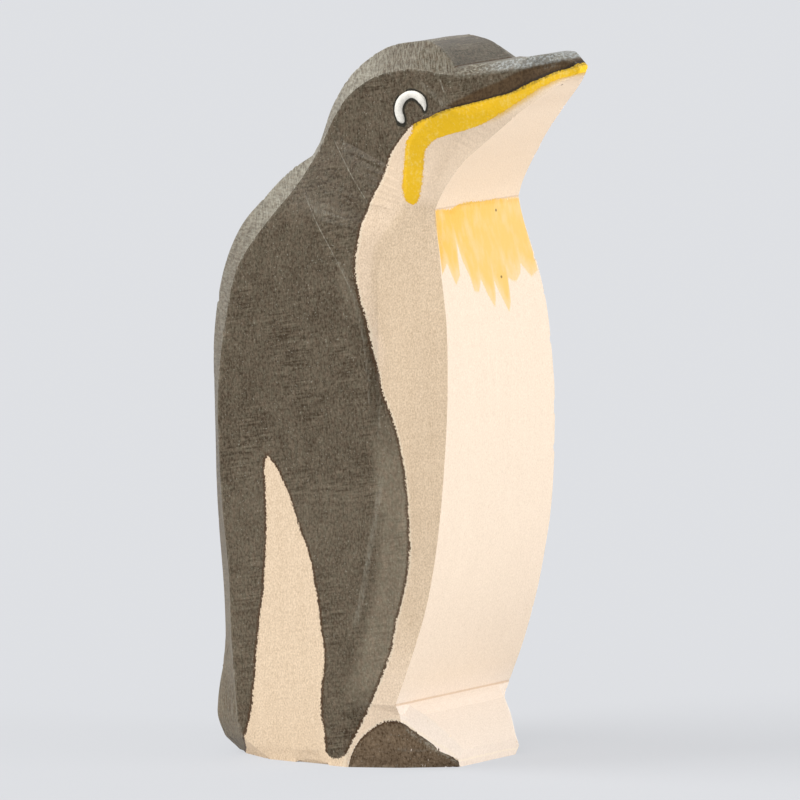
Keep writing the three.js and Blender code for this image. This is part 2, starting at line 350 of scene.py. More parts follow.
# the height where each zone starts and where it is in full
heights = {
    "throat": (91.5, 92.5),
    "throatTone": (91.7, 92.2),
    "throatRise": (96, 106),
    "chin": (91.5, 95),
    "neckLow": (62, 70),
    "neckHigh": (91.5, 94.5),
    "streak": (94, 96),
    "lowFlank": (42, 32),
    "heelSide": (26, 12),
    "heel": (15, 9),
    "lowBreast": (40, 16),
    "overInstep": (10.5, 11),
    "overTip": (8, 16),
    "strip": (62, 50),
    "lowWing": (54, 42),
    "wingFoot": (5, 16),
    "tail": (50, 20),
    "upperStripLow": (72, 75),
    "upperStripHigh": (90, 82),
    "paleBack": (45, 88),
    "wedge": (52, 50),
    "bandEnd": (92.3, 92.7),
    "bandWash": (105.5, 108),
    "bibDense": (84, 96),
}

# the distance back from the middle where each zone starts and where it is in full
depths = {
    "cheek": (-6, -10),
    "heelSide": (7, 3),
    "trimmed": (-3.4, -4),
    "footSlope": (-4, -5),
    "behindBrow": (-17, -15),
    "behindBeak": (-17, -14),
    "beakTop": (-14, -17),
    "beakTip": (-17, -23),
    "beakShade": (-13.5, -17),
    "beakLine": (-12, -18),
    "breast": (-9.3, -10),
}

# how far a face is turned back, up or aside, from -1 to 1, where each zone starts and where it is in full
turns = {
    "front": (-0.5, -0.62),
    "flankBack": (-0.06, -0.16),
    "flankFront": (-0.75, -0.5),
    "trimmed": (-0.69, -0.72),
    "tail": (0.1, 0.3),
    "back": (0.15, 0.4),
    "up": (0.3, 0.6),
    "brow": (0.4, 0.5),
    "down": (-0.05, -0.25),
    "paredPaintedLight": (0.3, 0.45),
}

# the distance past a line or from a point where each mark starts and where it is in full
gaps = {
    "neck": (-0.4, 1.4),
    "streak": (1.6, 0.3),
    "corner": (0.32, 0.08),
    "wingCut": (-0.5, -0.2),
    "footCut": (0.55, 0.2),
    "strip": (7, 4),
    "wingEdge": (1.9, 0.7),
    "upperStrip": (3.4, 2.6),
    "brow": (0.1, -0.1),
    "specks": (-0.4, 0.8),
    "ridge": (0.5, 0.1),
    "bandWash": (-1.7, -0.1),
    "bibTips": (0.2, 3.5),
    "bibSide": (1.2, 0.3),
    "knot": (0.32, 0.12),
    "eyeRim": (0.5, 0.3),
}

# how far on either side of its line a stain's edge reaches
softness = {"yellow": 0.15, "bibLow": 0.25, "beakShade": 0.35}

bibShape = {
    "halfWidth": (-0.12, 21.85),  # what height adds to the breast's half width, and its value at the ground
    "waver": 0.6,  # the share of the brush's waver that its lower edge has
    "slope": -0.6,  # how the dense stain's edge falls across the breast
}

halfWidths = {
    "rim": 0.7,
    "footSlope": 1.8,
    "beakLine": 1.5,
    "bandRim": 0.4,
    "fringe": 1.3,
    "bibRim": 1.1,
}

# line, half width and strength of each line that is rubbed thin
wornLines = [
    ("wingLine", 0.16, 0.6),
    ("neckLine", 0.16, 0.6),
    ("cheekLine", 0.16, 0.6),
    ("rubbedLine", 0.8, 0.3),
]

# how much lighter the wood is in each zone, as a share, whether from its own tone or from painted light and
# shade, and how strongly each pattern and mark shows
woodTones = {
    "grit": 0.75,
    "rings": 0.1,
    "fibres": 0.2,
    "calmFront": -0.6,
    "calmChin": -0.4,
    "cheek": 0.075,
    "throat": -0.035,
    "throatRise": 0.085,
    "flank": -0.07,
    "heelSide": 0.09,
    "lowFlank": 0.03,
    "streak": -0.05,
    "lowBreast": -0.035,
    # painted light on the pared facets at the sides of the instep
    "paredPaintedLight": 0.08,
    "flecks": 0.25,
    "corner": 0.5,
    "cutLine": 0.55,
    "knot": 0.8,
}

# the same for the dark stain
stainTones = {
    "mottle": 3.4,
    "grit": 1.6,
    "fibres": 1.4,
    "clouds": 1.2,
    "sanding": 3.0,
    "pattern": 0.66,
    "darkest": -0.6,
    "strip": 0.8,
    "wingEdge": 0.18,
    "lowWing": 0.17,
    "tail": 0.34,
    "upperStrip": 0.3,
    "brow": -0.16,
    "coolBrow": 0.1,
    "pits": 0.45,
    # faces that look up or back: streaks of thinner stain with a painted sheen over them
    "combedUp": 0.5,
    "paleUp": -0.02,
    "combedBack": 0.36,
    "paleBack": 0.06,
    "lowBack": 0.25,  # the share of that which is left low on the back
    "specks": 0.62,
    "beakTip": 0.2,
    "beakTop": 0.07,
    "footSlope": 0.7,
    "beakShade": 0.9,
    "wingRim": 0.9,
    "rim": 0.85,
    "corner": 0.9,
    "beakLine": 0.85,
    "ridge": 0.22,
    "linePatches": 0.8,  # the share of a worn line that comes and goes
    "lineTaper": 0.15,  # the share of its length that each end takes to fade out
    "eyeRim": 0.9,
}

# and for the yellow stains
yellowTones = {
    "bandMottle": 1.5,
    "bandUnder": 0.11,  # painted light: how much the band is lightened where the cheek's underside falls in its own shade
    "bandRim": 0.35,
    "fringePatches": 0.6,
    "fringe": 0.25,
    "bandWash": 0.85,
    "bibBrushed": 0.7,
    "bibClouds": 0.5,
    "bib": 0.95,
    "bibTips": 0.65,
    "bibDense": 0.6,
    "bibRimPatches": 0.4,
    "bibRim": 0.15,
}

relief = {
    "waver": 0.5,  # how far the brush strays at a painted edge
    "bleed": 1.1,  # how far the stain runs into the wood there
    "frontWaver": 0.1,
    "mottle": 0.6,
    "fibres": 0.5,
    "sanding": 0.4,
    "depth": 0.1,
    "strength": 0.6,
    "slant": 0.81,  # how far back the combed streaks run for each millimetre aside
    "roughness": 0.66,
    "stainRoughness": -0.2,
    "mottleRoughness": 0.3,
    "specular": 0.25,
}


def pattern(place, name):
    return fade(speckle(place, name), *spotRanges[name])


def byHeight(at, name):
    return fade(at.height, *heights[name])


def byDepth(at, name):
    return fade(at.along, *depths[name])


def gapTo(line, start, value, handles="AUTO"):
    # how far value lies past the drawn line
    return calc("SUBTRACT", value, drawnLine(start, stainLines[line], handles))


def surface(tree, place):
    # where each point lies, how its face is turned, and the lines and patterns that several layers share
    at = SimpleNamespace(tree=tree, place=place)
    at.across, at.along, at.height = addNode(tree, "SeparateXYZ", {0: place}).outputs
    normals = addNode(tree, "Attribute", attribute_name="facing").outputs["Vector"]
    at.sideways, at.backward, at.upward = addNode(tree, "SeparateXYZ", {0: normals}).outputs
    for name in ("grit", "fibres", "mottle", "clouds", "sanding"):
        setattr(at, name, speckle(place, name))
    at.patches = pattern(place, "patches")
    # every painted edge wavers with the brush and bleeds a little into the wood
    waver, bleed = [both(speckle(place, name), relief[name]) for name in ("waver", "bleed")]
    at.wobble = plus(waver, bleed)
    at.back = plus(at.along, at.wobble)
    at.up = plus(at.height, at.wobble)
    at.front = fade(plus(at.backward, both(at.wobble, relief["frontWaver"])), *turns["front"])
    for name in ("wingFront", "wedgeFront", "wedgeBack", "bandFront", "bandBack"):
        setattr(at, name + "Gap", gapTo(name, at.height, at.back))
    at.footGap = gapTo("footTop", at.along, at.up)
    return at


def inSawnCorners(at):
    total = 0.0
    for back, up in sawnCorners:
        apart = addNode(at.tree, "CombineXYZ", {1: plus(at.along, -back), 2: plus(at.height, -up)}).outputs[0]
        gap = addNode(at.tree, "VectorMath", {0: apart}, operation="LENGTH").outputs["Value"]
        total = plus(fade(gap, *gaps["corner"]), total)
    return total


def woodGrain(at, paler, heel, heelSide):
    # how much lighter the bare wood is than its plain colour: rings, fibres, and the tones of its parts
    tones = woodTones
    rings = speckle(at.place, "rings")
    grain = plus(both(at.grit, tones["grit"]), both(rings, tones["rings"]), both(at.fibres, tones["fibres"]))
    grain = both(grain, scaled(at.front, tones["calmFront"], 1.0))
    chin = byHeight(at, "chin")
    grain = both(grain, scaled(chin, tones["calmChin"], 1.0))
    # painted light: the throat is made lighter higher up, against the shade under the beak
    throat = scaled(byHeight(at, "throatRise"), tones["throatRise"], tones["throat"])
    flank = both(fade(at.backward, *turns["flankBack"]), fade(at.backward, *turns["flankFront"]))
    lowFlank = both(byHeight(at, "lowFlank"), tones["lowFlank"])
    streakGap = absolute(gapTo("throatShade", at.height, at.along))
    streak = both(fade(streakGap, *gaps["streak"]), byHeight(at, "streak"))
    return plus(
        grain,
        # painted light: the side of the chin below the cheek is lightened against the shade that falls on it
        both(chin, no(at.front), byDepth(at, "cheek"), tones["cheek"]),
        both(at.front, byHeight(at, "throatTone"), throat),
        # painted shade: the flank facets that turn partway forward are made darker
        both(flank, no(paler), tones["flank"]),
        both(flank, plus(both(heelSide, tones["heelSide"]), lowFlank)),
        both(streak, no(at.front), tones["streak"]),
        both(at.front, byHeight(at, "lowBreast"), byHeight(at, "overInstep"), tones["lowBreast"]),
        # painted light: the pared facets at the sides of the instep are lightened against the shade that they
        # fall in
        both(at.front, heel, fade(absolute(at.sideways), *turns["paredPaintedLight"]), tones["paredPaintedLight"]),
    )


def bareWood(at, corners):
    # painted light: the side of the neck and head is paler than the flank below it; the side is also paler
    # low down by the heel
    neck = fade(gapTo("neckShade", at.height, at.along), *gaps["neck"])
    neck = most(both(neck, byHeight(at, "neckLow")), byHeight(at, "neckHigh"))
    heel = byHeight(at, "heel")
    heelSide = both(byHeight(at, "heelSide"), byDepth(at, "heelSide"))
    paler = most(neck, heelSide)
    sides = blend(paler, colours["wood"], colours["neck"])
    fronts = blend(byHeight(at, "throat"), colours["breast"], colours["throat"])
    fronts = blend(heel, fronts, colours["instep"])
    wood = shaded(blend(at.front, sides, fronts), woodGrain(at, paler, heel, heelSide))
    wood = blend(both(pattern(at.place, "flecks"), woodTones["flecks"]), wood, colours["fleck"])
    wood = blend(both(corners, woodTones["corner"]), wood, colours["fleck"])
    # dry wood shows paler in the knife line that holds back the stain
    wingCut = both(fade(at.wingFrontGap, *gaps["wingCut"]), no(past(at.wingFrontGap)))
    footCut = both(fade(at.footGap, *gaps["footCut"]), past(at.footGap))
    return blend(both(most(wingCut, footCut), woodTones["cutLine"]), wood, colours["cutLine"])


def stainThinness(at, foot):
    # how much lighter the dark stain is in each of its zones
    tones = stainTones
    overTip = byHeight(at, "overTip")
    tailward = fade(at.backward, *turns["tail"])
    strip = both(fade(at.wingFrontGap, *gaps["strip"]), overTip, byHeight(at, "strip"))
    lowWing = both(byHeight(at, "lowWing"), byHeight(at, "wingFoot"), no(tailward))
    wingEdge = both(fade(at.wingFrontGap, *gaps["wingEdge"]), overTip, tones["wingEdge"])
    tail = both(byHeight(at, "tail"), tailward, tones["tail"])
    ends = byHeight(at, "upperStripLow"), byHeight(at, "upperStripHigh")
    upperStrip = both(fade(at.wingFrontGap, *gaps["upperStrip"]), *ends, tones["upperStrip"])
    lowWing = both(lowWing, no(foot), plus(wingEdge, tones["lowWing"]))
    return plus(both(strip, tones["strip"]), lowWing, tail, upperStrip)


def paleParts(at, brow, beakTop, beakTip):
    # faces that look up or back are paler in streaks, partly thinner stain and partly a painted sheen of
    # light glancing off them, and the top of the beak in specks
    tones = stainTones
    slanted = plus(at.along, both(absolute(at.across), relief["slant"]))
    slantedPlace = addNode(at.tree, "CombineXYZ", {0: at.across, 1: slanted, 2: at.height}).outputs[0]
    turnedUp = both(fade(at.upward, *turns["up"]), no(brow))
    higher = scaled(byHeight(at, "paleBack"), 1 - tones["lowBack"], tones["lowBack"])
    turnedBack = both(fade(at.backward, *turns["back"]), higher)
    pale = both(turnedUp, plus(both(pattern(slantedPlace, "combedUp"), tones["combedUp"]), tones["paleUp"]))
    combedBack = both(pattern(at.place, "combedBack"), tones["combedBack"])
    pale = plus(pale, both(turnedBack, plus(combedBack, tones["paleBack"])))
    specks = pattern(at.place, "specks")
    speckled = plus(both(specks, tones["specks"]), both(beakTip, tones["beakTip"]), tones["beakTop"])
    pale = most(both(pale, byDepth(at, "behindBeak")), both(beakTop, speckled))
    slope = byDepth(at, "footSlope")
    return most(pale, both(near(at.footGap, halfWidths["footSlope"]), slope, specks, tones["footSlope"]))


def stainRims(at, corners):
    rims = most(near(at.wedgeFrontGap, halfWidths["rim"]), near(at.wedgeBackGap, halfWidths["rim"]))
    wingRim = both(near(at.wingFrontGap, halfWidths["rim"]), stainTones["wingRim"])
    rims = most(both(rims, byHeight(at, "wedge")), wingRim)
    rims = both(most(rims, near(at.footGap, halfWidths["rim"])), stainTones["rim"])
    return most(rims, both(corners, stainTones["corner"]))


def alongLine(at, line, halfWidth):
    # 1 on a line drawn up the side, 0 away from it and past its ends
    first, last = stainLines[line][0][0], stainLines[line][-1][0]
    taper = (last - first) * stainTones["lineTaper"]
    ends = both(fade(at.height, first, first + taper), fade(at.height, last, last - taper))
    return both(near(gapTo(line, at.height, at.along), halfWidth), ends)


def rubbedThin(at):
    # where sanding and handling wore the stain: along the ridges, and on a few lines
    ridgeGap = addNode(at.tree, "Attribute", attribute_name="ridgeGap").outputs["Fac"]
    rubbed = both(fade(ridgeGap, *gaps["ridge"]), stainTones["ridge"], at.patches)
    patchy = stainTones["linePatches"]
    for line, halfWidth, strength in wornLines:
        share = plus(both(at.patches, patchy * strength), (1 - patchy) * strength)
        rubbed = most(rubbed, both(alongLine(at, line, halfWidth), share))
    return rubbed


def darkStain(at, foot, corners):
    tones = stainTones
    tone = plus(*[both(getattr(at, name), tones[name]) for name in ("mottle", "grit", "fibres", "clouds")])
    tone = plus(tone, both(at.sanding, pattern(at.place, "sandedPart"), tones["sanding"]))
    stain = blend(pattern(at.place, "hue"), colours["darkGreen"], colours["dark"])
    stain = blend(foot, stain, colours["footStain"])
    browGap = gapTo("browEdge", absolute(at.across), at.along)
    behind = byDepth(at, "behindBrow")
    brow = both(fade(browGap, *gaps["brow"]), fade(at.upward, *turns["brow"]), behind)
    lighter = most(both(tone, tones["pattern"]), tones["darkest"])
    stain = shaded(stain, plus(lighter, stainThinness(at, foot), both(brow, tones["brow"])))
    stain = blend(both(brow, tones["coolBrow"]), stain, colours["cool"])
    stain = blend(both(pattern(at.place, "pits"), tones["pits"]), stain, colours["wearAndSheen"])

    beakTip = byDepth(at, "beakTip")
    beakTop = fade(gapTo("beakSpecks", at.along, at.height), *gaps["specks"])
    beakTop = both(byDepth(at, "beakTop"), beakTop)
    frost = blend(both(beakTop, beakTip), colours["wearAndSheen"], colours["frosted"])
    # paler on faces that look up or back: thinner stain and a painted sheen
    stain = blend(paleParts(at, brow, beakTop, beakTip), stain, frost)
    shade = no(past(gapTo("beakShade", at.along, at.height), softness["beakShade"]))
    shade = both(shade, byDepth(at, "beakShade"), tones["beakShade"])
    beakBrown = blend(fade(tone, *spotRanges["beakBrown"]), colours["beakShade"], colours["beakBrown"])
    stain = blend(shade, stain, beakBrown)
    stain = blend(stainRims(at, corners), stain, colours["rim"])
    beakLine = both(near(at.wingFrontGap, halfWidths["beakLine"]), byDepth(at, "beakLine"))
    stain = blend(both(beakLine, tones["beakLine"]), stain, colours["beakLine"])
    return blend(rubbedThin(at), stain, colours["wearAndSheen"])


def yellowBand(at, under):
    # the band that runs down the cheek, over a wash of the same stain
    tones = yellowTones
    wash = both(fade(at.bandFrontGap, *gaps["bandWash"]), byHeight(at, "bandWash"), no(past(at.bandBackGap)))
    under = blend(both(wash, tones["bandWash"]), under, colours["bandWash"])
    edges = no(past(at.bandBackGap, softness["yellow"])), past(at.bandFrontGap, softness["yellow"])
    band = both(*edges, fade(at.up, *heights["bandEnd"]))
    tone = fade(plus(both(at.mottle, tones["bandMottle"]), at.clouds), *spotRanges["bandPale"])
    tone = blend(tone, colours["band"], colours["bandPale"])
    # painted light: the band is lightened on faces that look down, against their shade
    tone = shaded(tone, both(fade(at.upward, *turns["down"]), tones["bandUnder"]))
    rim = most(near(at.bandBackGap, halfWidths["bandRim"]), near(at.bandFrontGap, halfWidths["bandRim"]))
    tone = blend(both(rim, tones["bandRim"]), tone, colours["bandRim"])
    fringe = plus(both(at.patches, tones["fringePatches"]), tones["fringe"])
    tone = blend(both(near(at.wingFrontGap, halfWidths["fringe"]), fringe), tone, colours["olive"])
    return blend(band, under, tone)


def yellowBib(at, under):
    # the bib that was brushed down from the throat over the sawn breast
    tones = yellowTones
    breastHalf = scaled(at.height, *bibShape["halfWidth"])
    fromSide = calc("SUBTRACT", breastHalf, absolute(at.across))
    onBreast = both(past(fromSide, softness["yellow"]), byDepth(at, "breast"))
    lowGap = gapTo("bibLow", at.across, plus(at.height, both(at.wobble, bibShape["waver"])), "VECTOR")
    topGap = gapTo("bibTop", at.across, at.up)
    bib = both(onBreast, no(past(topGap, softness["yellow"])), past(lowGap, softness["bibLow"]))
    brushed = speckle(at.place, "brushed")
    depth = plus(both(brushed, tones["bibBrushed"]), both(at.clouds, tones["bibClouds"]), tones["bib"])
    depth = both(depth, scaled(fade(lowGap, *gaps["bibTips"]), 1 - tones["bibTips"], tones["bibTips"]))
    dense = fade(plus(both(at.across, bibShape["slope"]), at.height), *heights["bibDense"])
    tone = blend(both(dense, plus(at.clouds, tones["bibDense"])), colours["bib"], colours["bibDense"])
    rim = most(near(topGap, halfWidths["bibRim"]), fade(plus(at.across, breastHalf), *gaps["bibSide"]))
    rim = both(rim, plus(both(at.patches, tones["bibRimPatches"]), tones["bibRim"]))
    return blend(both(bib, depth), under, blend(rim, tone, colours["bibEdge"]))


def stainedWood():
    material, tree, shader, place = newMaterial("stained_wood")
    at = surface(tree, place)
    corners = inSawnCorners(at)
    inWedge = both(past(at.wedgeFrontGap), no(past(at.wedgeBackGap)))
    wing = both(past(at.wingFrontGap), no(inWedge), past(gapTo("wingTip", at.along, at.up)))
    trimmed = both(fade(at.backward, *turns["trimmed"]), byDepth(at, "trimmed"))
    foot = both(no(past(at.footGap)), no(trimmed))
    dark = most(wing, foot)

    colour = yellowBand(at, yellowBib(at, bareWood(at, corners)))
    colour = blend(dark, colour, darkStain(at, foot, corners))
    for knot in knots:
        gap = addNode(tree, "VectorMath", {0: place, 1: knot}, operation="DISTANCE").outputs["Value"]
        colour = blend(both(fade(gap, *gaps["knot"]), woodTones["knot"]), colour, colours["knot"])
    # a dark ring on the cheek round each eye's raised stroke: painted shade at its foot
    eyeGap = addNode(tree, "Attribute", attribute_name="eyeGap").outputs["Fac"]
    colour = blend(both(fade(eyeGap, *gaps["eyeRim"]), stainTones["eyeRim"]), colour, colours["eyeRim"])
    tree.links.new(colour, shader.inputs["Base Color"])

    bumps = plus(*[both(getattr(at, name), relief[name]) for name in ("mottle", "fibres", "sanding")])
    inputs = {"Height": bumps, "Strength": relief["strength"], "Distance": relief["depth"] * mm}
    tree.links.new(addNode(tree, "Bump", inputs).outputs[0], shader.inputs["Normal"])
    roughness = scaled(dark, relief["stainRoughness"], relief["roughness"])
    roughness = plus(roughness, both(at.mottle, relief["mottleRoughness"]))
    tree.links.new(roughness, shader.inputs["Roughness"])
    shader.inputs["Specular IOR Level"].default_value = relief["specular"]
    return material


eyeFinish = {
    "paint": (244, 240, 230),
    "paintShade": (226, 221, 211),
    "shading": (-0.1, 0.3),  # the noise's value where the second colour starts and where it is in full
    "depth": 0.08,
    "strength": 0.6,
    "roughness": 0.45,
}


def eyePaint():
    material, tree, shader, place = newMaterial("eye_paint")
    ridges = speckle(place, "paintRidges")
    shown = [tint(*eyeFinish[name]) for name in ("paint", "paintShade")]
    tree.links.new(blend(fade(ridges, *eyeFinish["shading"]), *shown), shader.inputs["Base Color"])
    inputs = {"Height": ridges, "Strength": eyeFinish["strength"], "Distance": eyeFinish["depth"] * mm}
    tree.links.new(addNode(tree, "Bump", inputs).outputs[0], shader.inputs["Normal"])
    shader.inputs["Roughness"].default_value = eyeFinish["roughness"]
    return material


woodFinish = stainedWood()
paintFinish = eyePaint()
print("materials made")


def finishPiece(mesh, name, material, node):
    piece = bpy.data.objects.new(name, mesh)
    bpy.context.scene.collection.objects.link(piece)
    mesh.materials.clear()
    mesh.materials.append(material)
    mesh.shade_smooth()
    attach(piece, "root")
    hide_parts(node)


# The raised stroke of paint on each cheek

eyeStroke = {
    # distance back, height and half width, from the foot of the hind leg to the tip of the fore leg
    "path": [
        (-6.1, 105.95, 0.35), (-6.15, 106.2, 0.7), (-6.05, 106.7, 0.8), (-5.7, 107.6, 0.82),
        (-5.72, 108.5, 0.8), (-6.2, 109.5, 0.76), (-7.2, 110.35, 0.66), (-8.4, 110.7, 0.6),
        (-9.55, 110.5, 0.68), (-10.5, 109.85, 0.74), (-10.95, 109.1, 0.5), (-11.05, 108.4, 0.22),
        (-11.05, 108.15, 0.08),
    ],
    "rise": 0.55,  # height over half width
    "steps": 6,  # how finely it is rounded, along and across
    "weld": 0.001,  # what is closer than this becomes one point
    # the part of the cheek that has a finer mesh and is measured from the stroke
    "heights": (104.5, 112.5),
    "depths": (-13, -3),
    "aside": 11,
    "farOff": 9,  # what stands in for that distance elsewhere
}


def everything(bm):
    return bm.verts[:] + bm.edges[:] + bm.faces[:]


def eyeMesh(sideSign, cheek):
    curve = bpy.data.curves.new("stroke", "CURVE")
    curve.dimensions = "3D"
    curve.bevel_depth = 1
    curve.bevel_resolution = eyeStroke["steps"]
    curve.resolution_u = eyeStroke["steps"]
    curve.use_fill_caps = True
    spline = curve.splines.new("BEZIER")
    spline.bezier_points.add(len(eyeStroke["path"]) - 1)
    for spot, (back, up, half) in zip(spline.bezier_points, eyeStroke["path"]):
        spot.co = (0, back, up)
        spot.radius = half
        spot.handle_left_type = "AUTO"
        spot.handle_right_type = "AUTO"
    holder = bpy.data.objects.new("stroke", curve)
    bpy.context.scene.collection.objects.link(holder)
    bpy.context.view_layer.update()
    mesh = bpy.data.meshes.new_from_object(holder)
    bpy.data.objects.remove(holder)
    bm = bmesh.new()
    bm.from_mesh(mesh)
    bmesh.ops.remove_doubles(bm, verts=bm.verts, dist=eyeStroke["weld"])
    bmesh.ops.scale(bm, verts=bm.verts, vec=(eyeStroke["rise"], 1, 1))
    bmesh.ops.bisect_plane(bm, geom=everything(bm), plane_no=(sideSign, 0, 0), clear_inner=True)
    rims = [edge for edge in bm.edges if edge.is_boundary]
    bmesh.ops.edgeloop_fill(bm, edges=rims)
    bmesh.ops.translate(bm, verts=bm.verts, vec=(sideSign * cheek, 0, 0))
    bmesh.ops.scale(bm, verts=bm.verts, vec=(mm, mm, mm))
    bmesh.ops.recalc_face_normals(bm, faces=bm.faces)
    bm.to_mesh(mesh)
    bm.free()
    return mesh


def addEyes():
    for name, sideSign in (("right_eye", -1), ("left_eye", 1)):
        node = name + "_paint"
        low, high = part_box(node)
        cheek = min(abs(low.x), abs(high.x)) / mm
        finishPiece(eyeMesh(sideSign, cheek), name, paintFinish, node)


addEyes()
print("eyes painted")


# The carved block, sanded soft from the plain facets of the frame

carving = {
    "voxel": 0.31,
    "plainness": 0.005,  # how far the mesh is thinned where the wood is flat
    "waver": 0.09,  # how far the knife and paper strayed from flat
    "waverSize": 8,
    "crispAngle": 11,  # least turn in degrees of an edge that the knife left crisp
    "gentleAngle": 2.5,  # least turn of an edge that sanding made round
    "gentleReach": 3,  # how far from such an edge its rounding ends
    "crispReach": 0.19,  # how close a point lies to be drawn onto such an edge
    "ridgeAngle": 22,  # least turn in degrees of an edge that sanding rubs
    "outlineAngle": 40,  # least turn of an edge across the block that stayed a corner of the outline
    "roundStep": 0.8,  # longest edge of the mesh where it is rounded
    "footTop": 12,  # below it the sides are evened out, as they were sanded flat
    "footPasses": 60,
    "footFactor": 0.5,
    "flatSide": 0.65,  # how far a point there faces sideways, from 0 to 1, to be evened out
    "edgeStep": 0.1,  # distance between the points that stand for an edge
    "sideFacing": 0.85,  # a face that turns this far sideways is a side of the block
    "acrossRun": 0.95,  # an edge that runs this straight across is part of the outline
    "besideRun": 0.8,  # edges this close to parallel share the way between them
    "weld": 0.01,  # what is closer than this becomes one point
    "slimmest": 0.03,  # the same, once points are drawn onto the edges
    "splitRounds": 6,
    "eyeStep": 0.19,  # longest edge of the mesh beside the eyes
    # the cut that takes off each side edge of the instep, as a point on it and the way that it faces
    "trimPoint": (13.4, -4.2, 7.4),
    "trimFacing": (0.575, -0.746, 0.335),
    "trimStart": -3.9,
    "trimRun": 1.5,
    "trimTop": 12,
    "trimSlack": 0.001,
    # how far the top of the toes swells out, and between which heights
    "toeSwell": 0.45,
    "toeLow": 2.8,
    "toeHigh": 10.7,
    "toeEntry": 2,  # how far ahead of the instep it has its full height
    "toeFacing": (0, -0.72, 0.69),
}


def mergedCopy(node):
    bm = bmesh.new()
    bm.from_mesh(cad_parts[node].data)
    bmesh.ops.remove_doubles(bm, verts=bm.verts, dist=carving["weld"] * mm)
    return bm


def isGentle(edge):
    # a slight corner of the sawn outline, or of a facet that follows it
    if max(abs(face.normal.x) for face in edge.link_faces) > carving["sideFacing"]:
        return False
    turn = math.degrees(edge.calc_face_angle_signed(0))
    run = edge.verts[0].co - edge.verts[1].co
    if turn > 0 and abs(run.x) > carving["acrossRun"] * run.length:
        return turn < carving["outlineAngle"]
    return abs(turn) < carving["crispAngle"]


def turningEdges(bm, least, gentle=False):
    # the edges that turn by more than that many degrees, each with its turn
    found = []
    for edge in bm.edges:
        if len(edge.link_faces) == 2 and isGentle(edge) == gentle:
            turn = edge.calc_face_angle_signed(0)
            if abs(math.degrees(turn)) > least:
                found.append((edge, turn))
    return found


def spotsAlong(edges):
    # a tree of points along the edges, and the number of the edge that each point is on
    spots = []
    numbers = []
    for number, (edge, turn) in enumerate(edges):
        first, last = [vert.co for vert in edge.verts]
        steps = max(1, round((last - first).length / (carving["edgeStep"] * mm)))
        spots += [first.lerp(last, step / steps) for step in range(steps + 1)]
        numbers += [number] * (steps + 1)
    tree = kdtree.KDTree(len(spots))
    for place, spot in enumerate(spots):
        tree.insert(spot, place)
    tree.balance()
    return tree, numbers


def roundingOf(edges):
    # for each edge its turn, and half the way to the next edge that runs beside it
    found = []
    for edge, turn in edges:
        first, last = [vert.co for vert in edge.verts]
        middle = (first + last) / 2
        run = (last - first).normalized()
        apart = [carving["gentleReach"] * mm * 2]
        for other, otherTurn in edges:
            low, high = [vert.co for vert in other.verts]
            touching = set(edge.verts) & set(other.verts)
            if not touching and abs(run.dot((high - low).normalized())) >= carving["besideRun"]:
                share = min(1, max(0, intersect_point_line(middle, low, high)[1]))
                apart.append((middle - low.lerp(high, share)).length)
        found.append((turn, min(apart) / 2))
    return found


def remeshed(bm, name):
    mesh = bpy.data.meshes.new(name)
    bm.to_mesh(mesh)
    holder = bpy.data.objects.new(name, mesh)
    bpy.context.scene.collection.objects.link(holder)
    remesh = holder.modifiers.new("even", "REMESH")
    remesh.mode = "VOXEL"
    remesh.voxel_size = carving["voxel"] * mm
    remesh.adaptivity = carving["plainness"]
    shape = holder.evaluated_get(bpy.context.evaluated_depsgraph_get())
    even = bpy.data.meshes.new_from_object(shape)
    bpy.data.objects.remove(holder)
    return even


def strokeGap(point):
    # distance from a point on the cheek to the edge of the eye's stroke
    apart = []
    path = eyeStroke["path"]
    for (backA, upA, halfA), (backB, upB, halfB) in zip(path, path[1:]):
        run = Vector((backB - backA, upB - upA))
        offset = Vector((point.y - backA, point.z - upA))
        share = min(1, max(0, offset.dot(run) / run.length_squared))
        apart.append((offset - run * share).length - (halfA + (halfB - halfA) * share))
    return min(apart)


def nearEye(point):
    low, high = eyeStroke["heights"]
    front, back = eyeStroke["depths"]
    aside, along, up = abs(point.x) / mm, point.y / mm, point.z / mm
    return low < up < high and front < along < back and aside > eyeStroke["aside"]


def trimInstep(bm):
    # the knife took the side edges off the instep
    start, top, slack = [carving[name] * mm for name in ("trimStart", "trimTop", "trimSlack")]
    bmesh.ops.bisect_plane(bm, geom=everything(bm), plane_co=(0, 0, top), plane_no=(0, 0, 1))
    for back in (start, start - carving["trimRun"] * mm):
        bmesh.ops.bisect_plane(bm, geom=everything(bm), plane_co=(0, back, 0), plane_no=(0, 1, 0))
    for sideSign in (-1, 1):
        flip = Vector((sideSign, 1, 1))
        point = Vector(carving["trimPoint"]) * flip * mm
        facing = Vector(carving["trimFacing"]).normalized() * flip
        level = Vector((facing.x, facing.y, 0)).normalized()
        toe = []
        for face in bm.faces:
            if all(vert.co.y < start + slack and vert.co.z < top + slack for vert in face.verts):
                toe.append(face)
        verts = {vert for face in toe for vert in face.verts}
        edges = {edge for face in toe for edge in face.edges}
        bmesh.ops.bisect_plane(bm, geom=[*toe, *verts, *edges], plane_co=point, plane_no=facing)
        bmesh.ops.triangulate(bm, faces=bm.faces)
        for vert in bm.verts:
            beyond = (vert.co - point).dot(facing)
            if vert.co.y < start and vert.co.z < top and vert.co.x * sideSign > 0 and beyond > 0:
                run = min(1, (start - vert.co.y) / (carving["trimRun"] * mm))
                vert.co -= level * beyond / facing.dot(level) * run


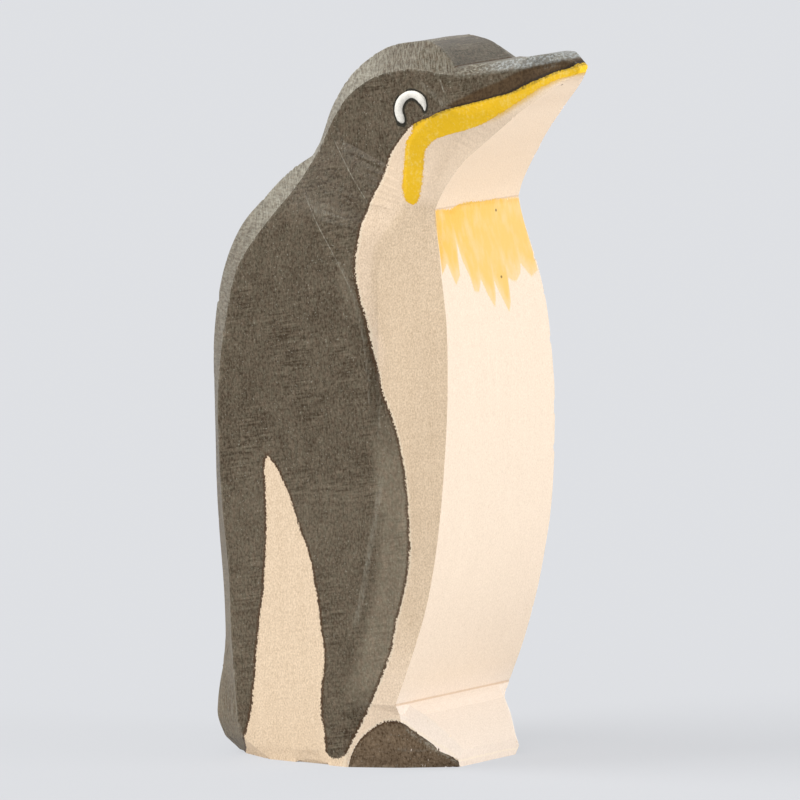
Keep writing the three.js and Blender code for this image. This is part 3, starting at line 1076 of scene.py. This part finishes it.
def settled(bm, plain, crisp):
    # every point goes back onto the plain facets, and those beside a crisp edge onto that edge
    facets = BVHTree.FromBMesh(plain)
    onEdge = []
    for vert in bm.verts:
        spot, number, distance = crisp.find(vert.co)
        if distance < carving["crispReach"] * mm:
            vert.co = spot
            onEdge.append(vert)
        else:
            vert.co = facets.find_nearest(vert.co)[0]
    bmesh.ops.connect_verts(bm, verts=onEdge, check_degenerate=True)
    bmesh.ops.remove_doubles(bm, verts=bm.verts, dist=carving["slimmest"] * mm)
    bmesh.ops.dissolve_degenerate(bm, edges=bm.edges, dist=carving["weld"] * mm)
    bmesh.ops.triangulate(bm, faces=[face for face in bm.faces if len(face.verts) > 4])
    fixed = {vert for vert in bm.verts if crisp.find(vert.co)[2] < carving["crispReach"] * mm}
    sides = [vert for vert in bm.verts if vert.co.z < carving["footTop"] * mm and vert not in fixed]
    bm.normal_update()
    sides = [vert for vert in sides if abs(vert.normal.x) > carving["flatSide"]]
    for turn in range(carving["footPasses"]):
        bmesh.ops.smooth_vert(bm, verts=sides, factor=carving["footFactor"], use_axis_x=True)


def rounded(bm, gentle, numbers, rounding):
    # the slight corners of the outline become curves
    for vert in bm.verts:
        spot, place, distance = gentle.find(vert.co)
        turn, reach = rounding[numbers[place]]
        if distance < reach:
            vert.co -= vert.normal * (reach - distance) ** 2 * math.tan(turn / 2) / (2 * reach)


def swellToes(bm):
    # the top of the toes was sanded to a slight curve
    low, high = carving["toeLow"] * mm, carving["toeHigh"] * mm
    for vert in bm.verts:
        share = (vert.co.z - low) / (high - low)
        ahead = carving["trimStart"] * mm - vert.co.y
        if 0 < share < 1 and ahead > 0:
            swell = carving["toeSwell"] * mm * math.sin(math.pi * share)
            vert.co += Vector(carving["toeFacing"]) * swell * min(1, ahead / (carving["toeEntry"] * mm))


def finer(bm, longest, within):
    # splits what is longer than that many millimetres between points that lie within a part of the figure
    for turn in range(carving["splitRounds"]):
        long = [edge for edge in bm.edges if edge.calc_length() > longest * mm]
        long = [edge for edge in long if all(within(vert.co) for vert in edge.verts)]
        if long:
            bmesh.ops.subdivide_edges(bm, edges=long, cuts=1, use_grid_fill=True)


def addFigure():
    plain = mergedCopy("wooden_figure")
    trimInstep(plain)
    plain.normal_update()
    crisp = spotsAlong(turningEdges(plain, carving["crispAngle"]))[0]
    ridges = spotsAlong(turningEdges(plain, carving["ridgeAngle"]))[0]
    gentleEdges = turningEdges(plain, carving["gentleAngle"], True)
    gentle, numbers = spotsAlong(gentleEdges)
    rounding = roundingOf(gentleEdges)
    mesh = remeshed(plain, "carved_figure")
    bm = bmesh.new()
    bm.from_mesh(mesh)
    settled(bm, plain, crisp)
    plain.free()
    finer(bm, carving["roundStep"], lambda point: gentle.find(point)[2] < carving["gentleReach"] * mm)
    bm.normal_update()
    rounded(bm, gentle, numbers, rounding)
    swellToes(bm)
    finer(bm, carving["eyeStep"], nearEye)
    bmesh.ops.triangulate(bm, faces=[face for face in bm.faces if len(face.verts) > 4])
    bm.normal_update()
    low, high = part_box("wooden_figure")
    for vert in bm.verts:
        stray = noise.noise(vert.co / mm / carving["waverSize"]) * carving["waver"]
        vert.co += vert.normal * stray * mm
        vert.co = Vector(min(max(value, least), last) for value, least, last in zip(vert.co, low, high))
    bmesh.ops.recalc_face_normals(bm, faces=bm.faces)
    bm.to_mesh(mesh)
    bm.free()
    places = [vert.co for vert in mesh.vertices]
    measured = {
        "ridgeGap": [ridges.find(place)[2] / mm for place in places],
        "eyeGap": [strokeGap(place / mm) if nearEye(place) else eyeStroke["farOff"] for place in places],
    }
    for name, values in measured.items():
        mesh.attributes.new(name, "FLOAT", "POINT").data.foreach_set("value", values)
    facing = [value for face in mesh.polygons for value in face.normal]
    mesh.attributes.new("facing", "FLOAT_VECTOR", "FACE").data.foreach_set("vector", facing)
    finishPiece(mesh, "carved_figure", woodFinish, "wooden_figure")
    mesh.set_sharp_from_angle(angle=math.radians(carving["crispAngle"]))
    print("figure carved,", len(mesh.polygons), "faces")


addFigure()


# Pale floor, pale surroundings and soft lamps

studio = {
    "backdrop": (222, 224, 228),
    "floorSize": 12000,
    "floor": (203, 204, 207),
    "roughness": 0.9,
    "shadow": 0.25,  # how much of the floor's own light and shadow the camera sees
    "ambient": (0.61, 0.605, 0.595),
    "lamps": [
        # name, direction that it comes from, strength, spread in degrees, colour
        ("key", (0.3, -0.93, 0.12), 2.4, 25, (0.96, 0.99, 1.05)),
        ("fill", (-0.45, 0.6, 0.66), 2.6, 40, (1, 1, 1)),
    ],
}


def seenDirectly(tree):
    path = addNode(tree, "LightPath").outputs
    return most(*[path["Is " + kind + " Ray"] for kind in ("Camera", "Glossy", "Transmission")])


def addFloor():
    bm = bmesh.new()
    bmesh.ops.create_grid(bm, x_segments=1, y_segments=1, size=studio["floorSize"] / 2 * mm)
    mesh = bpy.data.meshes.new("floor")
    bm.to_mesh(mesh)
    bm.free()
    floor = bpy.data.objects.new("floor", mesh)
    bpy.context.scene.collection.objects.link(floor)
    material = bpy.data.materials.new("floor")
    material.use_nodes = True
    tree = material.node_tree
    shader = tree.nodes["Principled BSDF"]
    shader.inputs["Base Color"].default_value = tint(*studio["floor"])
    shader.inputs["Roughness"].default_value = studio["roughness"]
    shader.inputs["Specular IOR Level"].default_value = 0
    glow = addNode(tree, "Emission", {"Color": tint(*studio["backdrop"])})
    share = both(seenDirectly(tree), 1 - studio["shadow"])
    mixed = addNode(tree, "MixShader", {0: share, 1: shader.outputs[0], 2: glow.outputs[0]})
    tree.links.new(mixed.outputs[0], tree.nodes["Material Output"].inputs["Surface"])
    mesh.materials.append(material)


def addSurroundings():
    world = bpy.data.worlds.new("surroundings")
    world.use_nodes = True
    bpy.context.scene.world = world
    tree = world.node_tree
    lighting = tree.nodes["Background"]
    lighting.inputs["Color"].default_value = (*studio["ambient"], 1)
    shown = addNode(tree, "Background", {"Color": tint(*studio["backdrop"])})
    mixed = addNode(tree, "MixShader", {0: seenDirectly(tree), 1: lighting.outputs[0], 2: shown.outputs[0]})
    tree.links.new(mixed.outputs[0], tree.nodes["World Output"].inputs["Surface"])


def addLamps():
    for name, towards, strength, spread, colour in studio["lamps"]:
        data = bpy.data.lights.new(name, "SUN")
        data.energy = strength
        data.angle = math.radians(spread)
        data.color = colour
        lamp = bpy.data.objects.new(name, data)
        lamp.rotation_mode = "QUATERNION"
        lamp.rotation_quaternion = Vector(towards).to_track_quat("Z", "Y")
        bpy.context.scene.collection.objects.link(lamp)


addFloor()
addSurroundings()
addLamps()
print("stage lit")
